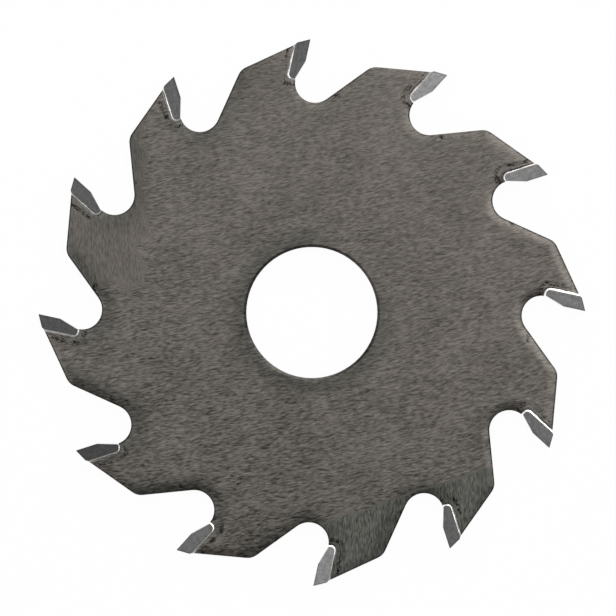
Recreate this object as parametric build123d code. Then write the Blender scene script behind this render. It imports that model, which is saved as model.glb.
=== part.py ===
from build123d import *
from math import acos, cos, degrees, radians, sin, tan
import os

# A grooving saw blade: a steel plate with carbide tips brazed into seats round its rim.
# The plate lies in the XY plane. The bore's axis is Z, and the origin is at half the thickness.
# Seen from above, the teeth point clockwise. Lengths are in millimetres, angles in degrees.

# Blade
teeth = 12
cutting_diameter = 125.0
cut_width = 4.0  # width of the groove, across a tip's two cutting corners
bore_diameter = 30.0
plate_thickness = 2.8

# Carbide tip
hook_angle = 12.5  # the cutting face leans back from the radius by this
cutting_face_length = 5.0
tip_length = 9.6  # along the cutting face's line, from the cutting edge to the seat
tip_thickness = 3.1  # from the cutting face to the back
tip_foot_length = 1.5  # what the front leaves of the bottom edge
tip_corner_radius = 1.0
top_clearance = 13.5
top_land_length = 3.1
heel_slope = 45.0  # the short slope from the top land down to the steel
radial_relief = 1.0  # the tip's sides come closer towards the bore
tangential_relief = 2.0  # and towards its back

# Steel tooth and gullet
back_clearance = 24.5
shoulder_lag = 16.0  # the shoulder lies behind the cutting corner by this
shoulder_radius = 3.5
gullet_depth = 14.5  # below the cutting circle
gullet_radius = 4.57
gullet_step = 0.17  # the steel under a tip stands ahead of the tip's foot by this

# Broken edges of the plate: width on the face, depth into the edge
rim_break_width = 0.3
rim_break_depth = 0.15
bore_break_width = 0.6
bore_break_depth = 0.3

# Solder
solder_film = 0.1  # between the tip and its seat
seat_break_depth = 0.12  # the seat's edges are broken, and the solder's foot fills them
solder_fillet_width = 0.6
solder_fillet_height = 0.4
solder_step = 0.05  # the solder stops this far below the tip's side

overshoot = 1.0  # a cut runs past what it cuts by this

pitch = 360.0 / teeth
half_plate = plate_thickness / 2


# Points and lines in the tooth's own plane, where the cutting corner is straight above the bore


def along(start, heading, distance):
    """The point at a distance from start, with the heading counted from +X."""
    return start + Vector(cos(radians(heading)), sin(radians(heading))) * distance


def crossing(first, first_heading, second, second_heading):
    """Where two lines cross, each given by a point and a heading."""
    first_way = along(Vector(), first_heading, 1.0)
    second_way = along(Vector(), second_heading, 1.0)
    offset = second - first
    reach = offset.cross(second_way).Z / first_way.cross(second_way).Z
    return first + first_way * reach


def round_centre(point, reach, radius):
    """The centre, at a reach from the bore's axis, of the circle through a point, on its clockwise side."""
    cosine = (point.length**2 + reach**2 - radius**2) / (2 * point.length * reach)
    ahead = point.rotate(Axis.Z, -degrees(acos(cosine)))
    return ahead.normalized() * reach


def tangent_point(outside, centre, radius):
    """Where the line from an outside point touches the circle, on its clockwise side."""
    sight = outside - centre
    heading = Vector(1, 0).get_signed_angle(sight, Vector(0, 0, 1))
    return along(centre, heading - degrees(acos(radius / sight.length)), radius)


cutting_corner = Vector(0, cutting_diameter / 2)
down_the_face = -90 - hook_angle
into_the_steel = 180 - hook_angle
kink = along(cutting_corner, down_the_face, cutting_face_length)
land_end = along(cutting_corner, 180 + top_clearance, top_land_length)
back_top = along(cutting_corner, into_the_steel, tip_thickness)
heel = crossing(land_end, 180 + heel_slope, back_top, down_the_face)

bottom_start = along(cutting_corner, down_the_face, tip_length)
back_bottom = along(bottom_start, into_the_steel, tip_thickness)
front_bottom = along(back_bottom, -hook_angle, tip_foot_length)

shoulder = crossing(Vector(), 90 + shoulder_lag, heel, 180 + back_clearance)
next_shoulder = shoulder.rotate(Axis.Z, -pitch)

gullet_start = along(front_bottom, -hook_angle, gullet_step)
gullet_reach = cutting_diameter / 2 - gullet_depth + gullet_radius
gullet_centre = round_centre(gullet_start, gullet_reach, gullet_radius)
gullet_floor = along(gullet_centre, -90, gullet_radius)
gullet_exit = tangent_point(next_shoulder, gullet_centre, gullet_radius)


def blade_outline(front_points):
    """The face inside the rim, with each tooth's points from the end of its back to its gullet."""
    last_exit = gullet_exit.rotate(Axis.Z, pitch)
    back = FilletPolyline(last_exit, shoulder, front_points[0], radius=shoulder_radius)
    front = Polyline(*front_points, gullet_start)
    gullet = ThreePointArc(gullet_start, gullet_floor, gullet_exit)
    tooth = back.edges() + front.edges() + gullet.edges()
    rim = [edge.rotate(Axis.Z, -pitch * index) for index in range(teeth) for edge in tooth]
    return Face(Wire(rim))


def seat_profile(growth):
    """The tip's back and bottom moved out by growth, as a face that runs past the front and the top."""
    width = tip_thickness + growth + overshoot
    height = tip_length + growth + overshoot
    block = Pos(overshoot, overshoot) * Rectangle(width, height, align=(Align.MAX, Align.MAX))
    inner_corner = block.vertices().sort_by(Axis.X)[:2].sort_by(Axis.Y)[0]
    block = fillet(inner_corner, tip_corner_radius + growth)
    return Pos(cutting_corner) * Rot(0, 0, -hook_angle) * block


def relief_plane(side, drop=0.0):
    """The ground side of a tip: side is 1 for the upper and -1 for the lower, drop moves it inwards."""
    tilt = Vector(-tan(radians(tangential_relief)), -tan(radians(radial_relief)), side)
    return Plane(cutting_corner + Vector(0, 0, side * (cut_width / 2 - drop)), z_dir=tilt)


def ground_sides(solid, drop=0.0):
    """The solid between the two ground sides."""
    for side in (1, -1):
        solid = split(solid, relief_plane(side, drop), keep=Keep.BOTTOM)
    return solid


def carbide_tip():
    """One tip, widest at its cutting corners, with the back bottom corner rounded."""
    profile = Polygon(cutting_corner, land_end, heel, back_bottom, front_bottom, kink, align=None)
    profile = fillet(profile.vertices().sort_by_distance(back_bottom)[0], tip_corner_radius)
    return ground_sides(extrude(profile, cut_width / 2 + overshoot, both=True))


def seat_pocket():
    """What one seat takes out of the plate, with its edges broken as wide as the solder's foot."""
    pocket = extrude(seat_profile(solder_film), half_plate + overshoot, both=True)
    narrow = Pos(0, 0, half_plate - seat_break_depth) * seat_profile(solder_film)
    broken_edge = loft([narrow, Pos(0, 0, half_plate) * seat_profile(solder_fillet_width)], ruled=True)
    return pocket + broken_edge + mirror(broken_edge, Plane.XY)


def blade_body():
    """The plate with its bore, its broken edges and a seat for each tip."""
    steel_nose = crossing(heel, back_clearance, cutting_corner, down_the_face)
    plate = extrude(blade_outline([steel_nose, kink]), half_plate, both=True)
    plate -= Cylinder(bore_diameter / 2, plate_thickness + 2 * overshoot)
    for side in (0, -1):
        face = plate.faces().sort_by(Axis.Z)[side]
        plate = chamfer(face.outer_wire().edges(), rim_break_width, rim_break_depth, reference=face)
        face = plate.faces().sort_by(Axis.Z)[side]
        plate = chamfer(face.inner_wires().edges(), bore_break_width, bore_break_depth, reference=face)
    seat = seat_pocket()
    return plate - [seat.rotate(Axis.Z, -pitch * index) for index in range(teeth)]


def solder_joint(plate, tip):
    """The film behind and under one tip, and the fillet that stands on the plate on both sides of it."""
    foot = seat_profile(solder_fillet_width)
    top = Pos(0, 0, half_plate + solder_fillet_height) * seat_profile(0.0)
    fillet_above = loft([Pos(0, 0, half_plate) * foot, top], ruled=True)
    solder = extrude(foot, half_plate, both=True) + fillet_above + mirror(fillet_above, Plane.XY)
    outline = blade_outline([heel, land_end, cutting_corner, kink, front_bottom])
    silhouette = extrude(outline, cut_width, both=True)
    return ground_sides(solder & silhouette, solder_step) - plate - tip


def export_node(solid, name):
    export_step(solid, f"parts/{name}.step")


os.makedirs("parts", exist_ok=True)
body = blade_body()
tip = carbide_tip()
solder = solder_joint(body, tip)
export_node(body, "blade_body")
for index in range(teeth):
    export_node(tip.rotate(Axis.Z, -pitch * index), f"carbide_tip_{index + 1:02d}")
    export_node(solder.rotate(Axis.Z, -pitch * index), f"solder_joint_{index + 1:02d}")
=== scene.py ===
from math import acos, atan2, cos, degrees, pi, radians, sin, sqrt, tan

import bmesh
import bpy
from mathutils import Matrix, Vector, noise


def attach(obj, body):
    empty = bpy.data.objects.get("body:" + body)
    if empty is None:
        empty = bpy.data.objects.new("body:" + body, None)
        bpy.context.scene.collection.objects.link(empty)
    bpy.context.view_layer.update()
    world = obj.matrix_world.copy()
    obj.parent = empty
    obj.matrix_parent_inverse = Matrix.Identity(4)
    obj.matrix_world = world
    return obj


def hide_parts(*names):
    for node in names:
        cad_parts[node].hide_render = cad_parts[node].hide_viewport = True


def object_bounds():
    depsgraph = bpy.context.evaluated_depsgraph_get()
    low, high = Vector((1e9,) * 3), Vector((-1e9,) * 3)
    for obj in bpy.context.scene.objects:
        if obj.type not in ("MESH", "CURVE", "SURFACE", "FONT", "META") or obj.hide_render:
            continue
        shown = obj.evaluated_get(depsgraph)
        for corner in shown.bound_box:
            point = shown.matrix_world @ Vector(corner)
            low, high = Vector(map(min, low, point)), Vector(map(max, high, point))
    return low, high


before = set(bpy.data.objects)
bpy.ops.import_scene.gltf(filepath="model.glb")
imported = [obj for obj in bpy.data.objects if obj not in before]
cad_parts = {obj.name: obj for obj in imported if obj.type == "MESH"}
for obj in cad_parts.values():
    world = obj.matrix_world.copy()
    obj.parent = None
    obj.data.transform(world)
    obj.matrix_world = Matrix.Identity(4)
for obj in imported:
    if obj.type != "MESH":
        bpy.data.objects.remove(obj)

cad_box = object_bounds()

# The looks of a grooving saw blade that lies flat on a white floor, seen straight from above.
# Lengths are in millimetres unless a name ends in _m, and angles are in degrees.

METRES = 0.001

# The blade's own sizes, as its solids have them
teeth = 12
cutting_radius = 62.5
half_plate = 1.4
bore_radius = 15.0
tip_half_width = 2.0
hook_angle = 12.5
tip_thickness = 3.1
tip_length = 9.6
tip_foot_length = 1.5
tip_corner_radius = 1.0
top_clearance = 13.5
top_land_length = 3.1
heel_slope = 45.0
radial_relief = 1.0
tangential_relief = 2.0
back_clearance = 24.5
shoulder_lag = 16.0
gullet_depth = 14.5
gullet_radius = 4.57
gullet_step = 0.17
solder_film = 0.1
seat_break_depth = 0.12
solder_width = 0.6
solder_height = 0.4
solder_step = 0.05  # the solder stops this far below the tip's side

# The photograph's view
camera_height = 1200.0
view_width = 140.9  # at the plate's upper face
view_centre = (-0.88, 1.05)
camera_roll = -0.32
sensor_width = 36.0

# The finish and the painted light and shade, tooth by tooth, clockwise from the top: how dark its brazing
# stains are, how far the edges there are worn round, how much shade is painted on the steel towards its
# gullets, how much light or shade is painted on its carbide, and how wide its solder is and how much shade is
# painted on it
stain_levels = (0.6, 0.7, 0.85, 0.85, 0.6, 0.75, 1.0, 1.0, 0.9, 0.6, 0.5, 0.5)
wear_levels = (0.5, 0.5, 0.8, 1.0, 1.0, 0.8, 0.6, 1.0, 0.8, 0.9, 0.7, 0.5)
painted_shade_levels = (0.2, 0.1, 0.0, 0.0, 0.5, 0.8, 0.7, 1.0, 1.0, 0.8, 0.6, 0.8)
carbide_light_and_shade_levels = (0.38, 0.96, 0.7, 0.56, 0.46, 0.4, 0.95, 0.7, 0.32, 0.37, 0.4, 0.41)
bead_levels = (1.25, 0.95, 0.8, 1.35, 1.1, 1.0, 0.85, 0.8, 0.85, 1.2, 0.85, 1.0)
solder_painted_shade_levels = (1.0, 1.0, 0.8, 1.0, 1.0, 0.75, 1.0, 1.0, 1.0, 1.0, 1.0, 0.9)
wear_width = 2.4  # how far in from the rim the wear reaches

# The grinding marks: most run one way, and those of two ground patches stand upright
mark_heading = 11.0
patch_heading = 91.0
mark_bend = 0.0005  # the marks rise more steeply to the right, by twice this for each millimetre
patch_corner = (24.0, -41.0)
patch_slope = 18.0

pitch = 360.0 / teeth
sector_reach = 22.0  # a tooth's sector starts this far behind its cutting corner
far_away = 100.0


# Points of a tooth in its own plane, where the cutting corner is straight above the bore


def heading(angle):
    return Vector((cos(radians(angle)), sin(radians(angle))))


def swung(point, angle):
    """The point turned round the bore's axis, anticlockwise."""
    return heading(angle) * point.x + heading(angle + 90) * point.y


def crossing(first, first_way, second, second_way):
    """Where two lines cross, each given by a point and a direction."""
    reach = (second - first).cross(second_way) / first_way.cross(second_way)
    return first + first_way * reach


def circle_centre(point, reach, radius):
    """The centre, at a reach from the bore's axis, of the circle through a point, on its clockwise side."""
    cosine = (point.length_squared + reach**2 - radius**2) / (2 * point.length * reach)
    return swung(point, -degrees(acos(cosine))).normalized() * reach


def tangent_point(outside, centre, radius):
    """Where the line from an outside point touches the circle, on its clockwise side."""
    sight = outside - centre
    turn = degrees(atan2(sight.y, sight.x) - acos(radius / sight.length))
    return centre + heading(turn) * radius


cutting_corner = Vector((0.0, cutting_radius))
down_the_face = heading(-90 - hook_angle)
into_the_steel = heading(180 - hook_angle)
back_way = heading(180 + back_clearance)
land_way = heading(180 + top_clearance)
land_end = cutting_corner + land_way * top_land_length
back_top = cutting_corner + into_the_steel * tip_thickness
heel = crossing(land_end, heading(180 + heel_slope), back_top, down_the_face)
shoulder = crossing(Vector((0.0, 0.0)), heading(90 + shoulder_lag), heel, back_way)
foot_length = tip_thickness - tip_foot_length - gullet_step
gullet_start = cutting_corner + down_the_face * tip_length + into_the_steel * foot_length
gullet_reach = cutting_radius - gullet_depth + gullet_radius
gullet_centre = circle_centre(gullet_start, gullet_reach, gullet_radius)
last_gullet_centre = swung(gullet_centre, pitch)
flank_start = tangent_point(shoulder, last_gullet_centre, gullet_radius)
flank_way = (shoulder - flank_start).normalized()


def tooth_point(behind, down):
    """The point that lies so far behind the cutting face and so far down it from the cutting edge."""
    return cutting_corner + into_the_steel * behind + down_the_face * down


def side_height(point):
    """The height of a tip's ground side over the middle of the plate."""
    drop = (cutting_radius - point.y) * tan(radians(radial_relief))
    return tip_half_width - drop + point.x * tan(radians(tangential_relief))


# Values that vary over a surface, worked out by a material's nodes


class Field:
    """One output socket of a material's nodes, with sums written as usual."""

    def __init__(self, socket):
        self.socket = socket
        self.tree = socket.id_data

    def math(self, operation, *others):
        values = dict(enumerate((self, *others)))
        return Field(add_node(self.tree, "ShaderNodeMath", values, operation=operation).outputs[0])

    def __add__(self, other):
        return self.math("ADD", other)

    def __sub__(self, other):
        return self.math("SUBTRACT", other)

    def __mul__(self, other):
        return self.math("MULTIPLY", other)

    def __truediv__(self, other):
        return self.math("DIVIDE", other)

    def __rsub__(self, other):
        return self.math("MULTIPLY_ADD", -1.0, other)

    __radd__ = __add__
    __rmul__ = __mul__

    def least(self, other):
        return self.math("MINIMUM", other)

    def most(self, other):
        return self.math("MAXIMUM", other)

    def rise(self, low, high):
        """0 at low, 1 at high and smooth between them. With low above high, it falls."""
        values = {"Value": self, "From Min": low, "From Max": high}
        made = add_node(self.tree, "ShaderNodeMapRange", values, interpolation_type="SMOOTHSTEP")
        return Field(made.outputs[0])

    def between(self, low, high, softness):
        """1 from low to high, and 0 beyond both."""
        return self.rise(low - softness, low + softness) * self.rise(high + softness, high - softness)


def add_node(tree, kind, values, **settings):
    made = tree.nodes.new(kind)
    for name, value in settings.items():
        setattr(made, name, value)
    for key, value in values.items():
        if isinstance(value, Field):
            tree.links.new(value.socket, made.inputs[key])
        else:
            made.inputs[key].default_value = value
    return made


def new_metal(name):
    material = bpy.data.materials.new(name)
    material.use_nodes = True
    shader = material.node_tree.nodes["Principled BSDF"]
    shader.inputs["Metallic"].default_value = 1.0
    return material, shader


def feed(shader, **fields):
    for name, field in fields.items():
        field.tree.links.new(field.socket, shader.inputs[name.replace("_", " ")])


def place(tree):
    """The point on the surface, in millimetres."""
    metres = Field(add_node(tree, "ShaderNodeTexCoord", {}).outputs["Object"])
    return scaled(metres, (1 / METRES,) * 3)


def facing_up(tree):
    """1 on the flat faces and on what slopes a little, 0 on upright walls."""
    normal = Field(add_node(tree, "ShaderNodeTexCoord", {}).outputs["Normal"])
    return parts_of(normal)[2].math("ABSOLUTE").rise(0.35, 0.6)


def scaled(vector, factors):
    values = {0: vector, 1: factors}
    return Field(add_node(vector.tree, "ShaderNodeVectorMath", values, operation="MULTIPLY").outputs[0])


def parts_of(vector):
    return [Field(part) for part in add_node(vector.tree, "ShaderNodeSeparateXYZ", {0: vector}).outputs]


def joined(x, y, z):
    return Field(add_node(x.tree, "ShaderNodeCombineXYZ", {0: x, 1: y, 2: z}).outputs[0])


def along(vector, angle):
    """The vector turned so that its X runs along a heading, given in radians."""
    values = {"Vector": vector, "Angle": 0.0 - angle}
    made = add_node(vector.tree, "ShaderNodeVectorRotate", values, rotation_type="Z_AXIS")
    return Field(made.outputs[0])


def grain(vector, size, detail=2.0, roughness=0.5):
    """Noise of about 0 to 1 with features of that size, one number or one for each axis."""
    sizes = size if isinstance(size, tuple) else (size,) * 3
    values = {
        "Vector": scaled(vector, tuple(1 / part for part in sizes)),
        "Scale": 1.0,
        "Detail": detail,
        "Roughness": roughness,
    }
    return Field(add_node(vector.tree, "ShaderNodeTexNoise", values).outputs["Fac"])


def blended(factor, low, high):
    """The colour low where the factor is 0, and high where it is 1."""
    values = {0: factor, 6: low, 7: high}
    return Field(add_node(factor.tree, "ShaderNodeMix", values, data_type="RGBA").outputs[2])


def grey(level, warmth=0.0):
    """A colour of that brightness, warmer or, below 0, cooler."""
    return (level * (1 + warmth), level, level * (1 - warmth), 1.0)


def bumped(height):
    """The normal of a surface with that height, in millimetres."""
    return Field(add_node(height.tree, "ShaderNodeBump", {"Height": height, "Distance": METRES}).outputs[0])


def clock(x, y):
    """How far round the blade a point lies, clockwise from the top, from 0 to 1."""
    return ((pi / 2 - y.math("ARCTAN2", x)) / (2 * pi)).math("FLOORED_MODULO", 1.0)


def tooth_place(x, y):
    """A point in the plane of the tooth whose sector it is in, and that tooth's number, from 0 at the top."""
    turn = clock(x, y) * float(teeth)
    number = (turn + sector_reach / pitch).math("FLOOR")
    angle = (turn - number) * radians(pitch)
    reach = (x * x + y * y).math("SQRT")
    across = reach * angle.math("SINE")
    up = reach * angle.math("COSINE")
    return across, up, reach, number.math("FLOORED_MODULO", float(teeth))


def past_line(x, y, point, way):
    """How far a point lies to the right of a line that runs through a point, seen along its way."""
    return (x - point.x) * way.y - (y - point.y) * way.x


def past_circle(x, y, centre, radius):
    aside, above = x - centre.x, y - centre.y
    return (aside * aside + above * above).math("SQRT") - radius


def gullet_distance(across, up, reach):
    """How far a point of the plate lies from the nearest gullet or flank."""
    flanks = past_line(across, up, flank_start, flank_way)
    next_flank = past_line(across, up, swung(flank_start, -pitch), swung(flank_way, -pitch))
    next_flank = next_flank + next_flank.math("LESS_THAN", -1.0) * far_away
    flanks = flanks.least(next_flank) + reach.math("LESS_THAN", flank_start.length) * far_away
    gullets = past_circle(across, up, gullet_centre, gullet_radius)
    gullets = gullets.least(past_circle(across, up, last_gullet_centre, gullet_radius))
    return flanks.least(gullets)


def tip_distance(across, up):
    """How far a point lies behind or below its tooth's tip."""
    behind = past_line(across, up, cutting_corner, -down_the_face) * -1.0 - tip_thickness
    below = past_line(across, up, cutting_corner, into_the_steel) * -1.0 - tip_length
    behind, below = behind.most(0.0), below.most(0.0)
    return (behind * behind + below * below).math("SQRT")


def ramped(share, levels, interpolation):
    """The level at a share from 0 to 1, out of levels that start one twelfth of it apart."""
    made = add_node(share.tree, "ShaderNodeValToRGB", {0: share})
    ramp = made.color_ramp
    ramp.interpolation = interpolation
    for index, level in enumerate(levels):
        stop = ramp.elements[index] if index < 2 else ramp.elements.new(index / teeth)
        stop.position = index / teeth
        stop.color = (level, level, level, 1.0)
    return Field(made.outputs[0])


def chosen(number, levels):
    """The level of one tooth, the same all over it."""
    return ramped((number + 0.5) / float(teeth), levels, "CONSTANT")


def varied(share, levels):
    """A level that changes smoothly round the blade from tooth to tooth."""
    return ramped(share, levels + levels[:1], "LINEAR")


def patch_shares(x, y, drift):
    """1 in each patch that was ground again with upright marks: one at the lower right, one at the left."""
    inside = past_line(x, y, Vector(patch_corner), heading(patch_slope)) + drift * 2.0
    lower = inside.rise(-0.3, 0.3) * (x + drift * 6.0).between(1.0, 60.0, 1.5)
    left = (x + drift * 8.0).rise(-38.5, -39.5) * (y + drift * 8.0).rise(5.0, 7.0)
    return lower, left


def grinding_marks(here, x, y, drift, upright):
    """The height of short wavy marks about 0, and of the fine scratches between them."""
    lay = mark_heading + upright * (patch_heading - mark_heading)
    run, side, height = parts_of(along(here, lay * radians(1)))
    marks = joined(run, side + drift * 1.2 - run * run * mark_bend, height)
    streaks = grain(marks, (1.25, 0.31, 1.0), detail=1.0) - 0.5
    scratches = grain(marks, (4.0, 0.12, 1.0), detail=1.0) - 0.5
    return streaks, scratches


def worn(distance, width):
    """How far an edge is worn down at a distance from it, from 0 to 1."""
    share = (1.0 - distance / width).most(0.0)
    return share * share


def brazing_marks(across, up, number, drift):
    """Behind and below each tip: dark blotches, and the pale lines on both sides of them."""
    level = chosen(number, stain_levels)
    behind = past_line(across, up, cutting_corner, -down_the_face) * -1.0
    down = past_line(across, up, cutting_corner, into_the_steel) * -1.0
    own = joined(behind, down, number * 7.0)
    mottle = grain(own, (0.4, 0.8, 1.0), detail=3.0, roughness=0.65)
    patches = grain(own, (2.0, 2.5, 1.0), detail=1.0)
    ragged = tip_distance(across, up) + drift * 1.5 + (mottle - 0.5) * 0.8
    spread = patches.rise(0.6 - level * 0.3, 0.6)
    blotches = ragged.between(1.1, 2.1, 0.3) * spread * mottle.rise(0.44, 0.53)
    pale = ragged.between(0.75, 0.9, 0.15) + ragged.between(2.5, 2.7, 0.25) * spread
    return blotches, pale * level


def painted_shade_amount(across, up, reach, share, drift):
    """Painted shade on the steel towards the gullets, and round the bore except at its lit upper right."""
    rim = (gullet_distance(across, up, reach) + drift * 2.0).rise(5.5, 0.8) * varied(share, painted_shade_levels)
    bore = (reach - bore_radius + drift * 2.0).rise(6.5, 0.8)
    bright_side = share.between(0.03, 0.2, 0.07)
    return rim.most(bore * (1.0 - bright_side) * 0.8)


def ground_steel():
    """Dark ground steel with short slanting marks, brazing stains behind the tips, edges worn round and
    painted shade.
    """
    material, shader = new_metal("ground_steel")
    tree = material.node_tree
    here = place(tree)
    x, y, z = parts_of(here)
    share = clock(x, y)
    across, up, reach, number = tooth_place(x, y)
    drift = grain(here, 5.0, detail=1.0) - 0.5
    clouds = grain(here, 12.0, detail=3.0) - 0.5
    flat = facing_up(tree)

    lower_patch, left_patch = patch_shares(x, y, drift)
    streaks, scratches = grinding_marks(here, x, y, drift, lower_patch.most(left_patch))
    depth = (1.0 - x * 0.002 - y * 0.004) * (1.0 - left_patch * 0.4 - lower_patch * 0.1)
    tone = 1.05 + streaks * depth * 2.2 + scratches * depth + clouds * 0.6

    # Painted shade: darker towards the gullets and round the bore, but not at the lit upper right
    dark = painted_shade_amount(across, up, reach, share, drift)
    blotches, pale = brazing_marks(across, up, number, drift)
    tone = (tone + pale * 0.5) * (1.0 - blotches * 0.85) * (1.0 - dark * 0.33) * (1.0 - lower_patch * 0.1)

    cuts = grain(here, (0.3, 0.3, 4.0), detail=2.0)
    tone = tone * flat + (0.6 + cuts * 0.6) * (1.0 - flat)
    brown = blended(tone * 0.5, grey(0.0), grey(0.18, 0.1))
    greenish = blended(tone * 0.5, grey(0.0), (0.18, 0.182, 0.161, 1.0))
    # Greenish in the reground lower patch and where shade is painted
    colour = blended((dark * 0.7).most(lower_patch), brown, greenish)

    wear = varied(share, wear_levels) * (1.0 - lower_patch * 0.5)
    back = past_line(across, up, shoulder, -back_way)
    rim = back.least(gullet_distance(across, up, reach))
    fall = worn(rim + drift * 0.8, wear_width) * wear * 0.35
    fall = fall + worn(reach - bore_radius + drift * 0.8, 1.5) * 0.05
    surface = streaks * 0.014 - blotches * 0.02 - fall * flat
    feed(shader, Base_Color=colour, Roughness=0.34 + streaks * 0.2 + blotches * 0.2, Normal=bumped(surface))
    return material


def carbide():
    """Smooth ground carbide with fine lines, darker along its cutting edges, and light or shade painted on
    each tip.
    """
    material, shader = new_metal("carbide")
    here = place(material.node_tree)
    x, y, z = parts_of(here)
    across, up, reach, number = tooth_place(x, y)
    behind = past_line(across, up, cutting_corner, -down_the_face) * -1.0
    down = past_line(across, up, cutting_corner, into_the_steel) * -1.0
    own = joined(behind, down, z + number * 7.0)
    lines = grain(own, (0.25, 3.0, 0.8), detail=2.0) - 0.5
    clouds = grain(own, 0.9, detail=3.0, roughness=0.6) - 0.5
    under_top = past_line(across, up, cutting_corner, -land_way)
    dark_edge = behind.least(under_top).rise(0.3, 0.12)
    # Painted light and shade: each tip's carbide is made lighter or darker as light falls on it
    tone = (1.0 + lines * 0.8 + clouds * 1.0) * (1.0 - dark_edge * 0.4) * chosen(number, carbide_light_and_shade_levels)
    colour = blended(tone * 0.5, grey(0.0), grey(0.42))
    feed(shader, Base_Color=colour, Roughness=0.18 + lines * 0.1, Normal=bumped(lines * 0.002))
    return material


def silver_solder():
    material, shader = new_metal("silver_solder")
    here = place(material.node_tree)
    x, y, z = parts_of(here)
    number = tooth_place(x, y)[3]
    waves = grain(here, 0.5, detail=2.0)
    # Painted shade: the solder of some teeth is made darker than the rest
    tone = (0.7 + waves * 0.25) * chosen(number, solder_painted_shade_levels)
    colour = blended(tone, grey(0.0), grey(1.0, 0.03))
    feed(shader, Base_Color=colour, Roughness=0.22 + waves * 0.2, Normal=bumped(waves * 0.04))
    return material


def white_floor():
    """White to the camera and in reflections, and it keeps a little of the shadow."""
    material = bpy.data.materials.new("white_floor")
    material.use_nodes = True
    tree = material.node_tree
    shader = tree.nodes["Principled BSDF"]
    shader.inputs["Base Color"].default_value = (0.8, 0.8, 0.8, 1.0)
    shader.inputs["Roughness"].default_value = 0.9
    shader.inputs["Specular IOR Level"].default_value = 0.0
    rays = add_node(tree, "ShaderNodeLightPath", {})
    shown = Field(rays.outputs["Is Camera Ray"])
    for name in ("Is Glossy Ray", "Is Transmission Ray"):
        shown = shown.most(Field(rays.outputs[name]))
    glow = add_node(tree, "ShaderNodeEmission", {"Color": (1.0, 1.0, 1.0, 1.0), "Strength": 1.0})
    mixed = add_node(tree, "ShaderNodeMixShader", {0: shown * 0.97})
    tree.links.new(shader.outputs[0], mixed.inputs[1])
    tree.links.new(glow.outputs[0], mixed.inputs[2])
    tree.links.new(mixed.outputs[0], tree.nodes["Material Output"].inputs["Surface"])
    return material


def dress(node, material):
    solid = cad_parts[node]
    solid.data.materials.clear()
    solid.data.materials.append(material)


# Solder: a bead swept down the back of a tip, round its corner and along its foot


def bead_section(width, top):
    """One half of the bead's outline, from the tip's back over the fillet and down into the seat,
    as pairs of the distance from the tip and the height. The width and the top vary along the bead."""
    fillet_steps = 7
    bulge = 1.45  # 2 gives a straight slope, 1 a quarter of an ellipse
    outline = []
    for step in range(fillet_steps + 1):
        turn = pi / 2 * step / fillet_steps
        reach = width * sin(turn) ** bulge
        height = half_plate + (top - half_plate) * cos(turn) ** bulge if step < fillet_steps else half_plate
        outline.append((reach, height))
    outline.append((solder_film, half_plate - seat_break_depth))
    return outline


def bead_stations():
    """The bead's way round the tip: for each station, whether it is on the back, the corner or the foot,
    and how far along that stretch it lies."""
    counts = (("back", 48), ("corner", 10), ("foot", 6))
    for stretch, count in counts:
        for step in range(count):
            yield stretch, step / count
    yield "foot", 1.0


def bead_point(stretch, share, reach):
    """The point at a reach from the tip, on one stretch of the bead's way."""
    corner_down = tip_length - tip_corner_radius
    corner_behind = tip_thickness - tip_corner_radius
    if stretch == "back":
        out_to = back_top + into_the_steel * reach
        start = crossing(heel, back_way, out_to, down_the_face)
        end = tooth_point(tip_thickness + reach, corner_down)
        return start.lerp(end, share)
    if stretch == "corner":
        turn = radians(90 * share)
        out = tip_corner_radius + reach
        return tooth_point(corner_behind + out * cos(turn), corner_down + out * sin(turn))
    start = tooth_point(corner_behind, tip_length + reach)
    aside = start - gullet_centre
    along_foot = -into_the_steel
    middle = -aside.dot(along_foot)
    half_chord = sqrt(gullet_radius**2 - (aside + along_foot * middle).length_squared)
    return start + along_foot * (middle - half_chord) * share


def wander(tooth, place_on_bead, size):
    """Smooth chance from 0 to 1 along the bead, different on each tooth and the same on each run."""
    return 0.5 + 0.5 * noise.noise(Vector((place_on_bead / size, tooth * 3.7, size * 11.0)))


def solder_bead(tooth, material):
    stations = list(bead_stations())
    mesh = bmesh.new()
    rings = []
    travelled = 0.0
    last = None
    for stretch, share in stations:
        on_tip = bead_point(stretch, share, 0.0)
        travelled += (on_tip - last).length if last else 0.0
        last = on_tip
        swell = 0.7 * wander(tooth, travelled, 2.2) + 0.3 * wander(tooth, travelled, 0.7)
        width = solder_width * (0.3 + 0.6 * swell) * bead_levels[tooth]
        ceiling = min(half_plate + solder_height, side_height(on_tip) - solder_step)
        ring = []
        for side in (1, -1):
            lift = 0.5 + 0.5 * wander(tooth + 20 * side, travelled, 1.6)
            top = half_plate + (ceiling - half_plate) * lift
            section = bead_section(width, top)
            for reach, height in section if side == 1 else reversed(section):
                spot = bead_point(stretch, share, reach)
                ring.append(mesh.verts.new((*spot, side * height)))
        rings.append(ring)
    count = len(rings[0])
    for first, second in zip(rings, rings[1:]):
        for index in range(count):
            after = (index + 1) % count
            mesh.faces.new((first[index], first[after], second[after], second[index]))
    mesh.faces.new(rings[0][::-1])
    mesh.faces.new(rings[-1])
    bmesh.ops.rotate(mesh, verts=mesh.verts, matrix=Matrix.Rotation(radians(-pitch * tooth), 3, "Z"))
    bmesh.ops.scale(mesh, verts=mesh.verts, vec=(METRES,) * 3)
    bmesh.ops.recalc_face_normals(mesh, faces=mesh.faces)
    data = bpy.data.meshes.new(f"solder_bead_{tooth + 1:02d}")
    mesh.to_mesh(data)
    mesh.free()
    data.shade_smooth()
    data.set_sharp_from_angle(angle=radians(40))
    data.materials.append(material)
    bead = bpy.data.objects.new(data.name, data)
    bpy.context.scene.collection.objects.link(bead)
    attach(bead, "root")
    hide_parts(f"solder_joint_{tooth + 1:02d}")
    return bead


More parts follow.
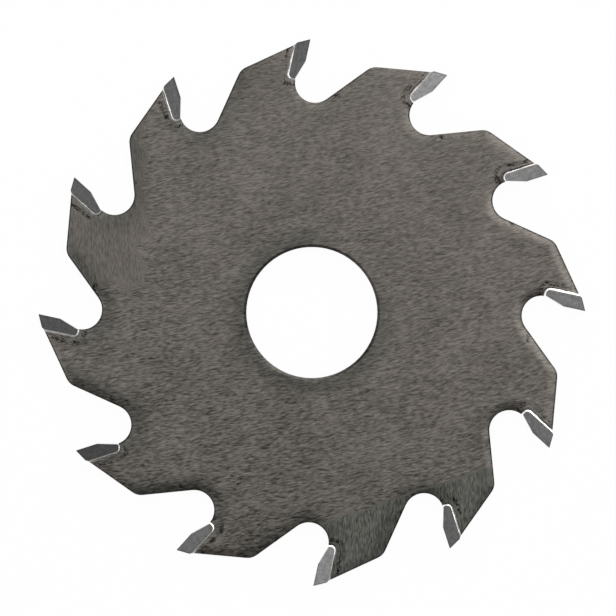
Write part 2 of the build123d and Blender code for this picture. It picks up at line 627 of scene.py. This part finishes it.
def lay_floor(half_size_m=3.0):
    mesh = bpy.data.meshes.new("floor")
    corners = [(i * half_size_m, j * half_size_m, 0) for i, j in ((-1, -1), (1, -1), (1, 1), (-1, 1))]
    mesh.from_pydata(corners, [], [(0, 1, 2, 3)])
    mesh.materials.append(white_floor())
    floor = bpy.data.objects.new("floor", mesh)
    floor.location.z = cad_box[0][2]
    bpy.context.scene.collection.objects.link(floor)


def aim_camera():
    data = bpy.data.cameras.new("camera")
    data.sensor_width = sensor_width
    data.lens = sensor_width * (camera_height - half_plate) / view_width
    data.clip_start, data.clip_end = 0.05, 10.0
    camera = bpy.data.objects.new("camera", data)
    camera.location = Vector((*view_centre, camera_height)) * METRES
    camera.rotation_euler.z = radians(camera_roll)
    bpy.context.scene.collection.objects.link(camera)
    bpy.context.scene.camera = camera


def add_lamp(name, azimuth, elevation, distance_m, size_m, radiance):
    """A soft rectangular lamp that faces the blade, with its width and height."""
    data = bpy.data.lights.new(name, "AREA")
    data.shape = "RECTANGLE"
    data.size, data.size_y = size_m
    data.energy = radiance * pi * size_m[0] * size_m[1]
    lamp = bpy.data.objects.new(name, data)
    flat = cos(radians(elevation))
    way = Vector((*(heading(azimuth) * flat), sin(radians(elevation))))
    lamp.location = way * distance_m
    lamp.rotation_euler = way.to_track_quat("Z", "Y").to_euler()
    bpy.context.scene.collection.objects.link(lamp)


def light_it():
    world = bpy.data.worlds.new("studio")
    world.use_nodes = True
    world.node_tree.nodes["Background"].inputs["Color"].default_value = grey(0.30)
    bpy.context.scene.world = world
    add_lamp("overhead_lamp", 95.0, 75.0, 1.5, (1.5, 1.1), 1.15)
    add_lamp("side_lamp", 28.0, 64.0, 1.2, (0.9, 0.45), 2.8)
    add_lamp("key_lamp", 66.0, 30.0, 0.9, (1.6, 0.35), 3.0)
    add_lamp("fill_lamp", 195.0, 52.0, 1.0, (0.6, 0.35), 2.4)


plate_look, tip_look, solder_look = ground_steel(), carbide(), silver_solder()
dress("blade_body", plate_look)
for tooth in range(teeth):
    dress(f"carbide_tip_{tooth + 1:02d}", tip_look)
    solder_bead(tooth, solder_look)

lay_floor()
aim_camera()
light_it()
bpy.context.scene.view_settings.view_transform = "Standard"
